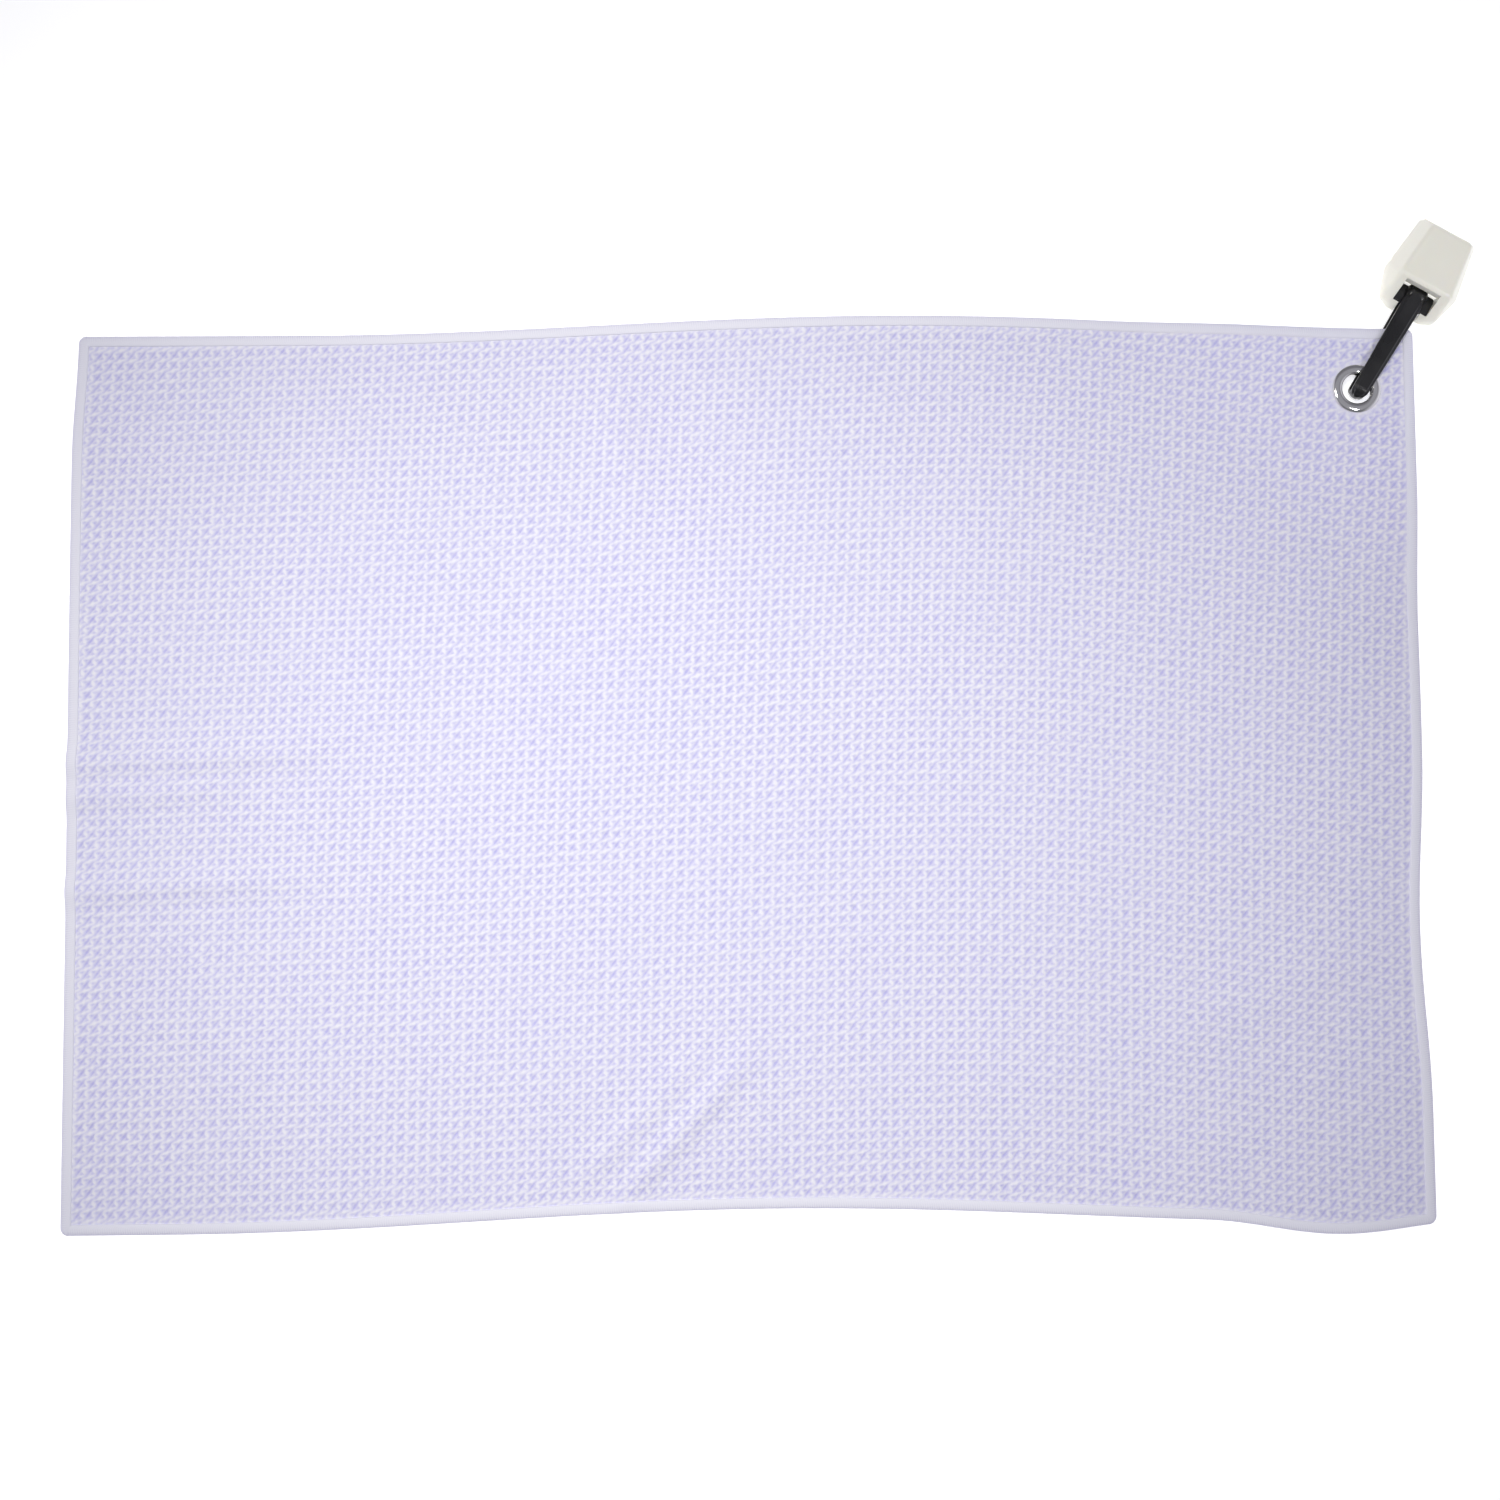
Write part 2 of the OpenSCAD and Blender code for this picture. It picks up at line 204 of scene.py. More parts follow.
class Nodes:
    """Short calls for the node tree of one material."""

    def __init__(self, material):
        self.tree = material.node_tree
        self.coords = self.tree.nodes.new("ShaderNodeTexCoord").outputs["Object"]

    def add(self, kind, **values):
        node = self.tree.nodes.new("ShaderNode" + kind)
        for name, value in values.items():
            setattr(node, name, value)
        return node

    def join(self, output, socket):
        self.tree.links.new(output, socket)

    def noise(self, scale, detail=2.0, stretch=(1, 1, 1)):
        """Noise over the object's own coordinates, scale counted per metre."""
        mapping = self.add("Mapping")
        mapping.inputs["Scale"].default_value = stretch
        self.join(self.coords, mapping.inputs["Vector"])
        noise = self.add("TexNoise")
        noise.inputs["Scale"].default_value = scale
        noise.inputs["Detail"].default_value = detail
        self.join(mapping.outputs["Vector"], noise.inputs["Vector"])
        return noise.outputs["Fac"]

    def ramp(self, value, low, high, start=0.0, end=1.0):
        """value from low to high gives numbers from start to end."""
        node = self.add("MapRange")
        set_range(node, low, high, start, end)
        self.join(value, node.inputs["Value"])
        return node.outputs["Result"]

    def math(self, operation, first, second):
        node = self.add("Math", operation=operation)
        for socket, value in zip(node.inputs, (first, second)):
            if isinstance(value, (int, float)):
                socket.default_value = value
            else:
                self.join(value, socket)
        return node.outputs["Value"]

    def mix(self, factor, first, second):
        """A colour between first and second; each is a colour or an output."""
        node = self.add("Mix", data_type="RGBA")
        self.join(factor, node.inputs["Factor"])
        for socket, value in ((node.inputs[6], first), (node.inputs[7], second)):
            if isinstance(value, tuple):
                socket.default_value = (*value, 1)
            else:
                self.join(value, socket)
        return node.outputs[2]

    def bump(self, height, strength, distance, shader):
        node = self.add("Bump")
        node.inputs["Strength"].default_value = strength
        node.inputs["Distance"].default_value = distance
        self.join(height, node.inputs["Height"])
        self.join(node.outputs["Normal"], shader.inputs["Normal"])


# ---- materials

CLOTH_COLOUR = (0.8, 0.79, 0.93)
# Pit colour: the cloth's lavender tint, darkened further as painted shade in the recesses
PIT_PAINTED_SHADE_COLOUR = (0.50, 0.485, 0.86)
RIDGE_COLOUR = (0.90, 0.895, 1.0)
YARN_COLOUR = (1.0, 1.0, 1.0)
CLOUD_COLOUR = (0.72, 0.72, 0.95)
LINT_HEIGHT = 1.5
THREAD_COLOUR = (0.9, 0.89, 0.94)
# Thread colour in the dips between stitches, darkened as painted shade
STITCH_DIP_PAINTED_SHADE = (0.56, 0.54, 0.74)
STITCH_TOP_COLOUR = (0.85, 0.85, 0.96)
FIBRE_COLOUR = (0.76, 0.75, 0.9)


def waffle_material():
    """Microfibre waffle: near-white loops on the ridges, a lavender pit colour that is partly the cloth's
    tint and partly painted shade, fine yarn.
    """
    material, shader = new_material("waffle_cloth", CLOTH_COLOUR, roughness=0.9)
    nodes = Nodes(material)
    ridge = nodes.add("Attribute", attribute_name="ridge").outputs["Fac"]
    yarn = nodes.noise(scale=2600, detail=3.0, stretch=(1, 0.55, 1))
    lint = nodes.noise(scale=420, detail=3.0)
    cloud = nodes.noise(scale=9, detail=2.0)
    height = nodes.math("ADD", ridge, nodes.ramp(lint, low=0.3, high=0.7, start=-0.14, end=0.14))
    # Darker in the pits and lighter on the ridges: partly the cloth's own tint, partly painted shade
    weave_with_painted_shade = nodes.mix(nodes.ramp(height, low=0.05, high=0.85), PIT_PAINTED_SHADE_COLOUR, RIDGE_COLOUR)
    tuft = nodes.mix(nodes.ramp(yarn, low=0.35, high=0.65, end=0.10), weave_with_painted_shade, YARN_COLOUR)
    tint = nodes.mix(nodes.ramp(cloud, low=0.35, high=0.65, end=0.10), tuft, CLOUD_COLOUR)
    nodes.join(tint, shader.inputs["Base Color"])
    shader.inputs["Sheen Weight"].default_value = 0.25
    shader.inputs["Sheen Roughness"].default_value = 0.5
    shader.inputs["Specular IOR Level"].default_value = 0.15
    fuzz = nodes.math("ADD", yarn, nodes.math("MULTIPLY", lint, LINT_HEIGHT))
    nodes.bump(fuzz, strength=0.35, distance=0.0002, shader=shader)
    return material


def hem_material():
    """White overlock thread, with painted shade darkening each stitch where it dips."""
    material, shader = new_material("hem_thread", THREAD_COLOUR, roughness=0.75)
    nodes = Nodes(material)
    fibre = nodes.noise(scale=1800, detail=3.0)
    stitch = nodes.add("Attribute", attribute_name="ridge").outputs["Fac"]
    rise = nodes.ramp(stitch, low=0.0, high=1.0)
    shade = nodes.mix(rise, STITCH_DIP_PAINTED_SHADE, STITCH_TOP_COLOUR)
    colour = nodes.mix(nodes.ramp(fibre, low=0.3, high=0.7, end=0.12), shade, FIBRE_COLOUR)
    nodes.join(colour, shader.inputs["Base Color"])
    shader.inputs["Sheen Weight"].default_value = 0.15
    shader.inputs["Specular IOR Level"].default_value = 0.25
    nodes.bump(fibre, strength=0.3, distance=0.0001, shader=shader)
    return material


# ---- mesh helpers

def make_mesh(name, points, faces, material, matrix=None):
    """A smooth mesh from points in millimetres, placed by a matrix whose shift is in millimetres."""
    mesh = bpy.data.meshes.new(name)
    mesh.from_pydata([tuple(p) for p in points], [], faces)
    if matrix is not None:
        mesh.transform(matrix)
    mesh.transform(Matrix.Scale(MM, 4))
    mesh.shade_smooth()
    mesh.materials.append(material)
    return mesh


def add_piece(name, mesh, body, slot, *replaced):
    """Links the mesh as a piece that rides on a body and stands for the CAD nodes named."""
    piece = bpy.data.objects.new(name, mesh)
    bpy.context.scene.collection.objects.link(piece)
    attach(piece, body)
    if replaced:
        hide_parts(*replaced)
    return piece


def store_ridge(mesh, values):
    """Keeps 0 to 1 for each point, which the cloth's materials read: low values darken the colour as painted
    shade.
    """
    attribute = mesh.attributes.new("ridge", "FLOAT", "POINT")
    attribute.data.foreach_set("value", np.asarray(values, np.float32))


# ---- the towel's shape as it lies

def hump(x, height, middle, reach):
    """A smooth rise to height at middle that is gone at reach on either side."""
    return height / 2 * (1 + np.cos(np.pi * np.minimum(1, np.abs(x - middle) / reach)))


def smooth(x, start, end):
    """0 before start, 1 after end, and a smooth step between."""
    share = np.clip((x - start) / (end - start), 0, 1)
    return share * share * (3 - 2 * share)


def top_bow(x):
    """How far the top edge bows up at x."""
    return hump(x, BOW_HEIGHT, TOP_BOW_X, BOW_REACH)


def bottom_bow(x):
    """How far the bottom edge bows up at x, with a dip near its right end."""
    return hump(x, BOW_HEIGHT, BOTTOM_BOW_X, BOW_REACH) - hump(x, DIP_DEPTH, DIP_X, DIP_REACH)


def edge_shift(x, t):
    """How far the towel's line at t from the middle bows sideways at x."""
    share = t / WIDTH + 0.5
    return top_bow(x) * share + bottom_bow(x) * (1 - share)


def end_dent(x, y):
    """How far the short edges are drawn in at y: midway down the right one and at the left one's top."""
    return np.where(x > 0, hump(y, *RIGHT_DENT), hump(y, *LEFT_DENT))


# Shares of a crease's length between which it rises and falls
CREASE_RISE = (-0.15, 0.25)
CREASE_FALL = (0.6, 1.1)


def crease(x, y, start, end, height, half_width):
    """A soft ridge that fades along a line from start to end."""
    (x0, y0), (x1, y1) = start, end
    length = math.hypot(x1 - x0, y1 - y0)
    along = ((x - x0) * (x1 - x0) + (y - y0) * (y1 - y0)) / length
    aside = ((x - x0) * (y0 - y1) + (y - y0) * (x1 - x0)) / length
    rise = smooth(along, CREASE_RISE[0] * length, CREASE_RISE[1] * length)
    fall = smooth(along, CREASE_FALL[0] * length, CREASE_FALL[1] * length)
    return height * (rise * (1 - fall)) * np.exp(-(aside / half_width) ** 2)


CREASES = [
    # start, end, height, half width
    ((-318, 6), (-180, 12), 2.8, 7),
    ((-318, -9), (-215, -4), 1.8, 6),
    ((-318, -50), (-190, -44), 2.0, 6),
    ((-60, -188), (4, -118), 2.2, 6),
    ((-76, -178), (-18, -118), 1.2, 7),
    ((-62, 188), (-48, 96), 1.3, 10),
    ((40, 60), (150, 20), 0.8, 16),
    ((180, -120), (290, -70), 0.9, 14),
]


# Distances from the towel's corner, along its diagonal: the ramp to the eyelet and the calm cloth before it
RAMP_FOOT = 92
RAMP_HEAD = 50
CALM_FOOT = 130
CALM_HEAD = 90
SWELL_HEIGHT = 0.8
SWELL_SHARE = 0.25
SWELL_X, SWELL_Y, SWELL_SLANT = 47, 39, 83
SWELL_SHIFT_X, SWELL_SHIFT_Y = 1.3, 0.4
PINCH_INNER = 10.6
PINCH_OUTER = 14.5


def lie(x, y):
    """Height of the towel's underside over the floor: soft swells, creases and the lifted corner."""
    corner = (LENGTH + WIDTH) / 2 / math.sqrt(2)
    along = (x + y) / math.sqrt(2)
    lifted = (LOOP_MIDDLE - CLOTH_THICKNESS / 2) * smooth(along, corner - RAMP_FOOT, corner - RAMP_HEAD)
    crossed = np.sin(x / SWELL_X + SWELL_SHIFT_X) * np.sin(y / SWELL_Y - SWELL_SHIFT_Y)
    swell = 0.5 + SWELL_SHARE * crossed + SWELL_SHARE * np.sin((x - y) / SWELL_SLANT)
    folds = sum(crease(x, y, *values) for values in CREASES)
    calm = 1 - smooth(along, corner - CALM_FOOT, corner - CALM_HEAD)
    return lifted + (SWELL_HEIGHT * swell + folds) * calm


def pinch(x, y):
    """1 under the eyelet's flanges and 0 from a few millimetres outside them."""
    distance = np.hypot(x - eyelet.x, y - eyelet.y)
    return 1 - smooth(distance, PINCH_INNER, PINCH_OUTER)


# ---- cloth

# The weave's columns lean and curve. Its rows slope up, more in the middle and down at the right, and each
# change is spread between two places along X
COLUMN_LEAN = 0.036
COLUMN_CURVE = 0.00006
ROW_LIFT = 5
LEFT_SLOPE = 0.024
MIDDLE_SLOPE, MIDDLE_START, MIDDLE_END = 0.022, -220, -70
RIGHT_SLOPE, RIGHT_START, RIGHT_END = 0.15, 20, 190
LINE_REACH = 400
LINE_POINTS = 1601


def weave_place(u, v):
    """Where the weave's cell coordinates (u, v) lie: its rows swing and its columns lean."""
    s = u * CELL_X
    t = v * CELL_Y
    x = s + COLUMN_LEAN * t + COLUMN_CURVE * t * t
    line = np.linspace(-LINE_REACH, LINE_REACH, LINE_POINTS)
    slope = LEFT_SLOPE + MIDDLE_SLOPE * smooth(line, MIDDLE_START, MIDDLE_END)
    slope -= RIGHT_SLOPE * smooth(line, RIGHT_START, RIGHT_END)
    path = np.cumsum(slope) * (line[1] - line[0])
    path -= np.interp(0, line, path)
    y = t + np.interp(x, line, path) + ROW_LIFT
    return x, y


CROSSING_DROP = 1.5
ARM_DROP = 0.4


def waves(u, v):
    """0 in the middle of a cell and 1 at its border, for each direction of the weave."""
    return (1 - np.cos(2 * np.pi * u)) / 2, (1 - np.cos(2 * np.pi * v)) / 2


def relief(u, v):
    """The waffle's height, 0 in a pit, 1 on the ridge between two pits and less where four cells meet."""
    a, b = waves(u, v)
    arms = (np.sin(2 * np.pi * u) * np.sin(2 * np.pi * v)) ** 2
    return np.clip(a + b - CROSSING_DROP * a * b - ARM_DROP * arms, 0, 1)


def twist(u, v):
    """Leans the ridges of each cell, so that they turn round its pit like a pinwheel."""
    a, b = waves(u, v)
    return u - TWIST * np.sin(2 * np.pi * v) * a, v + TWIST * np.sin(2 * np.pi * u) * b


def inside_towel(x, y, inset):
    """How far a point is inside the towel's outline drawn in by inset; below 0 is outside."""
    t = np.where(y > 0, y - top_bow(x), y - bottom_bow(x))
    return np.minimum(LENGTH / 2 - inset - end_dent(x, y) - np.abs(x), WIDTH / 2 - inset - np.abs(t))


SEED = 5
SPARE_CELLS = 8
WOBBLE = 0.035
DEPTH_SPREAD = 0.10
SEWN_BLEND = 2.5
SEWN_THINNING = 0.6
THINNING_SHARE = 0.9
SEWN_SMOOTHING = 0.85
SEWN_RIDGE = 0.75
CLOTH_INSET = 1.6
CLOTH_HOLE = 9.2


def woven_grid():
    """Grids that follow the weave: x, y, then the heights and the ridge values of face and back."""
    columns = int(LENGTH / CELL_X / 2) + SPARE_CELLS
    rows = int(WIDTH / CELL_Y / 2) + SPARE_CELLS
    u = np.arange(-columns * CELL_STEPS, columns * CELL_STEPS + 1) / CELL_STEPS
    v = np.arange(-rows * CELL_STEPS, rows * CELL_STEPS + 1) / CELL_STEPS
    u, v = np.meshgrid(u, v, indexing="ij")
    rng = np.random.default_rng(SEED)
    cells = (2 * columns + 2, 2 * rows + 2)
    wobble = rng.normal(0, WOBBLE, (2, *cells))
    cell = (np.floor(u + 0.5).astype(int) + columns, np.floor(v + 0.5).astype(int) + rows)
    face = relief(u, v)
    back = relief(u + 0.5, v + 0.5)
    loose = 1 - face
    turned_u, turned_v = twist(u, v)
    x, y = weave_place(turned_u + wobble[0][cell] * loose, turned_v + wobble[1][cell] * loose)
    depth = 1 + rng.normal(0, DEPTH_SPREAD, cells)[cell]
    sewn = 1 - smooth(inside_towel(x, y, 0), HEM_WIDTH - SEWN_BLEND, HEM_WIDTH + SEWN_BLEND)
    flat = np.maximum(sewn, pinch(x, y))
    middle = lie(x, y) + CLOTH_THICKNESS / 2
    thin = SEWN_THINNING * flat * THINNING_SHARE
    rough = 1 - SEWN_SMOOTHING * flat
    top = middle + CLOTH_THICKNESS / 2 - thin - FACE_RELIEF * depth * (1 - face) * rough
    bottom = middle - CLOTH_THICKNESS / 2 + thin + BACK_RELIEF * (1 - back) * rough
    ridges = [side * (1 - flat) + SEWN_RIDGE * flat for side in (face, back)]
    return x, y, [top, bottom], ridges


def cells_kept(x, y):
    """Which cells of the grid lie inside the hems and outside the eyelet's hole."""
    centre_x = (x[:-1, :-1] + x[1:, 1:]) / 2
    centre_y = (y[:-1, :-1] + y[1:, 1:]) / 2
    far_from_eyelet = np.hypot(centre_x - eyelet.x, centre_y - eyelet.y) > CLOTH_HOLE
    return (inside_towel(centre_x, centre_y, CLOTH_INSET) > 0) & far_from_eyelet


def sheet_mesh():
    """A closed sheet of waffle cloth: face and back are grids, joined by walls round every border."""
    x, y, heights, ridges = woven_grid()
    keep = cells_kept(x, y)
    count = x.size
    number = np.arange(count).reshape(x.shape)
    corners = [number[:-1, :-1], number[1:, :-1], number[1:, 1:], number[:-1, 1:]]
    quads = np.stack([c[keep] for c in corners], 1)
    edges = np.concatenate([quads[:, [i, (i + 1) % 4]] for i in range(4)])
    key = edges[:, 0] * count + edges[:, 1]
    border = edges[~np.isin(key, edges[:, 1] * count + edges[:, 0])]
    walls = np.stack([border[:, 1], border[:, 0], border[:, 0] + count, border[:, 1] + count], 1)
    faces = np.concatenate([quads, quads[:, ::-1] + count, walls])
    z = np.concatenate([height.ravel() for height in heights])
    points = np.stack([np.tile(x.ravel(), 2), np.tile(y.ravel(), 2), z], 1)
    values = np.concatenate([ridge.ravel() for ridge in ridges])
    used = np.unique(faces)
    renumber = np.zeros(2 * count, int)
    renumber[used] = np.arange(len(used))
    return points[used], renumber[faces], values[used]


def add_cloth(material):
    """The waffle sheet."""
    points, faces, values = sheet_mesh()
    mesh = make_mesh("waffle_sheet", points, faces, material)
    store_ridge(mesh, values)
    return add_piece("waffle_sheet", mesh, "towel", "waffle_cloth", "towel_cloth")


# ---- hems

STITCH_PITCH = 1.0
STITCH_STEPS = 4
STITCH_SLANT = 0.12
STITCH_SHADE = 4
PULL_REACH = 1.2
PULL_SHARE = 0.6
DENT_START = 200
DENT_END = 290
LEAST_RADIUS = 0.2
CORNER_STEPS = 6
# The hem's section, once round from the inner edge over the top: inset from the edge, height, stitch depth
HEM_SECTION = [
    (5.0, 1.9, 0.02), (4.4, 2.2, 0.02), (3.2, 2.32, 0.03), (2.0, 2.3, 0.06), (1.1, 2.15, 0.14),
    (0.4, 1.8, 0.22), (0.1, 1.3, 0.24), (0.4, 0.75, 0.22), (1.1, 0.3, 0.14), (2.0, 0.08, 0.06),
    (3.4, 0.0, 0.02), (4.8, 0.25, 0.02),
]


def outline_side(side, inset):
    """Points (x, t) along one side at an inset; the short sides take the corners with them."""
    radius = max(LEAST_RADIUS, CORNER_RADIUS - inset)
    half_l = LENGTH / 2 - inset - radius
    half_w = WIDTH / 2 - inset - radius
    turn = np.linspace(0, math.pi / 2, CORNER_STEPS * STITCH_STEPS)
    if side in ("top", "bottom"):
        x = np.linspace(half_l, -half_l, int(LENGTH / STITCH_PITCH) * STITCH_STEPS)
        t = np.full_like(x, WIDTH / 2 - inset)
        sign = 1 if side == "top" else -1
        return sign * x, sign * t
    straight = np.linspace(-half_w, half_w, int(WIDTH / STITCH_PITCH) * STITCH_STEPS)[1:-1]
    x = np.concatenate([half_l + radius * np.sin(turn), np.full_like(straight, half_l + radius),
                        half_l + radius * np.cos(turn)])
    t = np.concatenate([-half_w - radius * np.cos(turn), straight, half_w + radius * np.sin(turn)])
    sign = 1 if side == "right" else -1
    return sign * x, sign * t


def hem_mesh(side):
    """One hem: a tube round the cloth's edge whose surface dips between the wrapped stitches."""
    rings = []
    for inset, height, depth in HEM_SECTION:
        x, t = outline_side(side, inset)
        step = np.arange(len(x)) / STITCH_STEPS + STITCH_SLANT * inset
        wrap = (1 + np.cos(2 * np.pi * step)) / 2
        y = t + edge_shift(x, t)
        x = x - np.sign(x) * end_dent(x, y) * smooth(np.abs(x), DENT_START, DENT_END)
        lift = height - HEM_THICKNESS / 2
        z = lie(x, y) + HEM_THICKNESS / 2 + lift * (1 - depth * (1 - wrap))
        pull = depth * (1 - wrap) * max(0.0, PULL_REACH - inset) * PULL_SHARE
        pull_x = np.sign(x) * pull if side in ("left", "right") else 0
        pull_y = np.sign(t) * pull if side in ("top", "bottom") else 0
        # The fourth value sets how much painted shade darkens the thread in the dips between stitches
        shaded = min(1, depth * STITCH_SHADE)
        rings.append(np.stack([x - pull_x, y - pull_y, z, wrap * shaded + 1 - shaded], 1))
    grid = np.array(rings)
    around, along = grid.shape[:2]
    number = np.arange(around * along).reshape(around, along)
    following = np.roll(number, -1, 0)
    corners = [number[:, :-1], following[:, :-1], following[:, 1:], number[:, 1:]]
    quads = np.stack(corners, -1).reshape(-1, 4)
    return grid.reshape(-1, 4), quads, number[:, 0], number[::-1, -1]


def add_hem(side, material):
    """The hem along one side."""
    grid, quads, first_cap, last_cap = hem_mesh(side)
    name = side + "_overlock"
    mesh = bpy.data.meshes.new(name)
    faces = [tuple(q) for q in quads.tolist()] + [tuple(first_cap.tolist()), tuple(last_cap.tolist())]
    mesh.from_pydata((grid[:, :3] * MM).tolist(), [], faces)
    mesh.shade_smooth()
    mesh.materials.append(material)
    store_ridge(mesh, grid[:, 3])
    return add_piece(name, mesh, "towel", "hem_thread", "hem_" + side)


# ---- hardware materials

def metal_material(name, colour, low, high):
    """Bright metal whose roughness and fine scratches vary over it."""
    material, shader = new_material(name, colour, low)
    nodes = Nodes(material)
    shader.inputs["Metallic"].default_value = 1.0
    smudge = nodes.noise(scale=220, detail=3.0)
    worn = nodes.ramp(smudge, low=0.35, high=0.7, start=low, end=high)
    nodes.join(worn, shader.inputs["Roughness"])
    scratch = nodes.noise(scale=900, detail=4.0, stretch=(1, 6, 1))
    nodes.bump(scratch, strength=0.06, distance=0.00004, shader=shader)
    return material


def plastic_material(name, colour, worn, roughness, coat):
    """Moulded plastic: fine grain, faint flow marks and paler scuffs on the edges that hands rub."""
    material, shader = new_material(name, colour, roughness)
    nodes = Nodes(material)
    flow = nodes.noise(scale=70, detail=3.0, stretch=(1, 1, 2))
    grain = nodes.noise(scale=2600, detail=2.0)
    pointiness = nodes.add("NewGeometry").outputs["Pointiness"]
    edge = nodes.ramp(pointiness, low=0.52, high=0.62, end=0.5)
    rubbed = nodes.math("MULTIPLY", edge, nodes.noise(scale=500, detail=3.0))
    tone = nodes.mix(nodes.ramp(flow, low=0.35, high=0.65, end=0.25), colour, worn)
    nodes.join(nodes.mix(rubbed, tone, worn), shader.inputs["Base Color"])
    gloss = nodes.ramp(flow, low=0.3, high=0.7, start=roughness * 0.85, end=roughness * 1.25)
    nodes.join(gloss, shader.inputs["Roughness"])
    shader.inputs["Coat Weight"].default_value = coat
    shader.inputs["Coat Roughness"].default_value = 0.12
    nodes.bump(grain, strength=0.08, distance=0.00003, shader=shader)
    return material


def clip_material():
    """Cream-white plastic that lets a little light in."""
    material = plastic_material("clip_plastic", colour=(0.94, 0.925, 0.82), worn=(0.95, 0.93, 0.85),
                                roughness=0.32, coat=0.15)
    shader = material.node_tree.nodes["Principled BSDF"]
    shader.inputs["Subsurface Weight"].default_value = 0.15
    shader.inputs["Subsurface Radius"].default_value = (1.0, 0.8, 0.5)
    shader.inputs["Subsurface Scale"].default_value = 0.001
    return material


RUBBER_COLOUR = (0.03, 0.03, 0.032)
DUST_COLOUR = (0.10, 0.10, 0.10)


def rubber_material():
    """Black rubber with a little pale dust."""
    material, shader = new_material("pad_rubber", RUBBER_COLOUR, roughness=0.75)
    nodes = Nodes(material)
    dust = nodes.noise(scale=600, detail=4.0)
    shade = nodes.mix(nodes.ramp(dust, low=0.45, high=0.75, end=0.3), RUBBER_COLOUR, DUST_COLOUR)
    nodes.join(shade, shader.inputs["Base Color"])
    nodes.bump(dust, strength=0.25, distance=0.00008, shader=shader)
    return material


# ---- solid helpers

def ring_quads(rings, count, closed=False):
    """Quads from each ring of count points to the next, and from the last to the first if closed."""
    faces = []
    for i in range(rings if closed else rings - 1):
        above = (i + 1) % rings * count
        for k in range(count):
            beside = (k + 1) % count
            faces.append((i * count + k, i * count + beside, above + beside, above + k))
    return faces


def end_caps(rings, count):
    """The first and the last ring as one face each."""
    return [tuple(range(count))[::-1], tuple((rings - 1) * count + k for k in range(count))]


def turned(profile, steps, closed=False):
    """A profile of (radius, height) points turned about Z; an open one is closed by flat ends."""
    angle = np.linspace(0, 2 * math.pi, steps, endpoint=False)
    points = [(r * math.cos(a), r * math.sin(a), z) for r, z in profile for a in angle]
    rings = len(profile)
    return points, ring_quads(rings, steps, closed) + ([] if closed else end_caps(rings, steps))


def tube(path, radius, sides):
    """A round wire along a path of points, with flat ends."""
    path = [Vector(p) for p in path]
    points = []
    side = (path[1] - path[0]).orthogonal().normalized()
    for i, place in enumerate(path):
        along = (path[min(i + 1, len(path) - 1)] - path[max(i - 1, 0)]).normalized()
        side = (side - along * side.dot(along)).normalized()
        other = along.cross(side)
        for k in range(sides):
            turn = 2 * math.pi * k / sides
            points.append(place + radius * (math.cos(turn) * side + math.sin(turn) * other))
    return points, ring_quads(len(path), sides) + end_caps(len(path), sides)


def prism(outline, low, high):
    """A flat outline given height; the outline runs anticlockwise."""
    points = [(x, y, z) for z in (low, high) for x, y in outline]
    return points, end_caps(2, len(outline)) + ring_quads(2, len(outline))


def extruded(outline, half):
    """An outline in X and Z given width across the clip."""
    points, faces = prism(outline, -half, half)
    return [(x, y, z) for x, z, y in points], faces


def slab(x0, x1, y0, y1, z0, z1):
    """A box between two corners."""
    return prism([(x0, y0), (x1, y0), (x1, y1), (x0, y1)], z0, z1)


def block(x0, x1, half, z0, z1):
    """A box centred across the clip."""
    return slab(x0, x1, -half, half, z0, z1)


def moved(solid, matrix):
    """The solid with its points put through a matrix."""
    points, faces = solid
    return [matrix @ Vector(p) for p in points], faces


def across(solid, x, z, middle=0.0):
    """A solid turned about Z is laid across the clip, at x and z."""
    return moved(solid, Matrix.Translation((x, middle, z)) @ Matrix.Rotation(math.pi / 2, 4, "X"))


ROD_STEPS = 48
ROD_SOFTENING = 0.3


def rod(radius, half, chamfer):
    """A round bar centred on its own Z, with softened ends."""
    soft = ROD_SOFTENING * chamfer
    end = [(radius - chamfer, -half), (radius - soft, -half + soft), (radius, -half + chamfer)]
    return turned(end + [(r, -h) for r, h in end[::-1]], ROD_STEPS)


def as_bmesh(solid):
    """A bmesh of the solid with its faces turned outwards."""
    mesh = bmesh.new()
    points, faces = solid
    vertices = [mesh.verts.new(p) for p in points]
    for face in faces:
        corners = [vertices[i] for i in face]
        if mesh.faces.get(corners) is None:
            mesh.faces.new(corners)
    bmesh.ops.recalc_face_normals(mesh, faces=mesh.faces)
    return mesh


def soften(mesh, size, steps, angle=20, chosen=lambda edge: True):
    """Rounds the edges of a bmesh that are sharper than angle."""
    least = math.radians(angle)
    sharp = [e for e in mesh.edges if e.is_manifold and chosen(e) and e.calc_face_angle() > least]
    bmesh.ops.bevel(mesh, geom=sharp, offset=size, segments=steps, profile=0.5, affect="EDGES",
                    clamp_overlap=True)


def softened(solid, size, steps=3, angle=20):
    """The solid with its sharp edges rounded."""
    mesh = as_bmesh(solid)
    soften(mesh, size, steps, angle)
    return solid_of(mesh)


def solid_of(mesh):
    """Points and faces of a bmesh, which is then freed."""
    mesh.verts.index_update()
    points = [v.co.copy() for v in mesh.verts]
    faces = [tuple(v.index for v in f.verts) for f in mesh.faces]
    mesh.free()
    return points, faces


def together(*solids):
    """Several solids as one list of points and faces."""
    points, faces = [], []
    for part_points, part_faces in solids:
        start = len(points)
        points += list(part_points)
        faces += [tuple(i + start for i in f) for f in part_faces]
    return points, faces


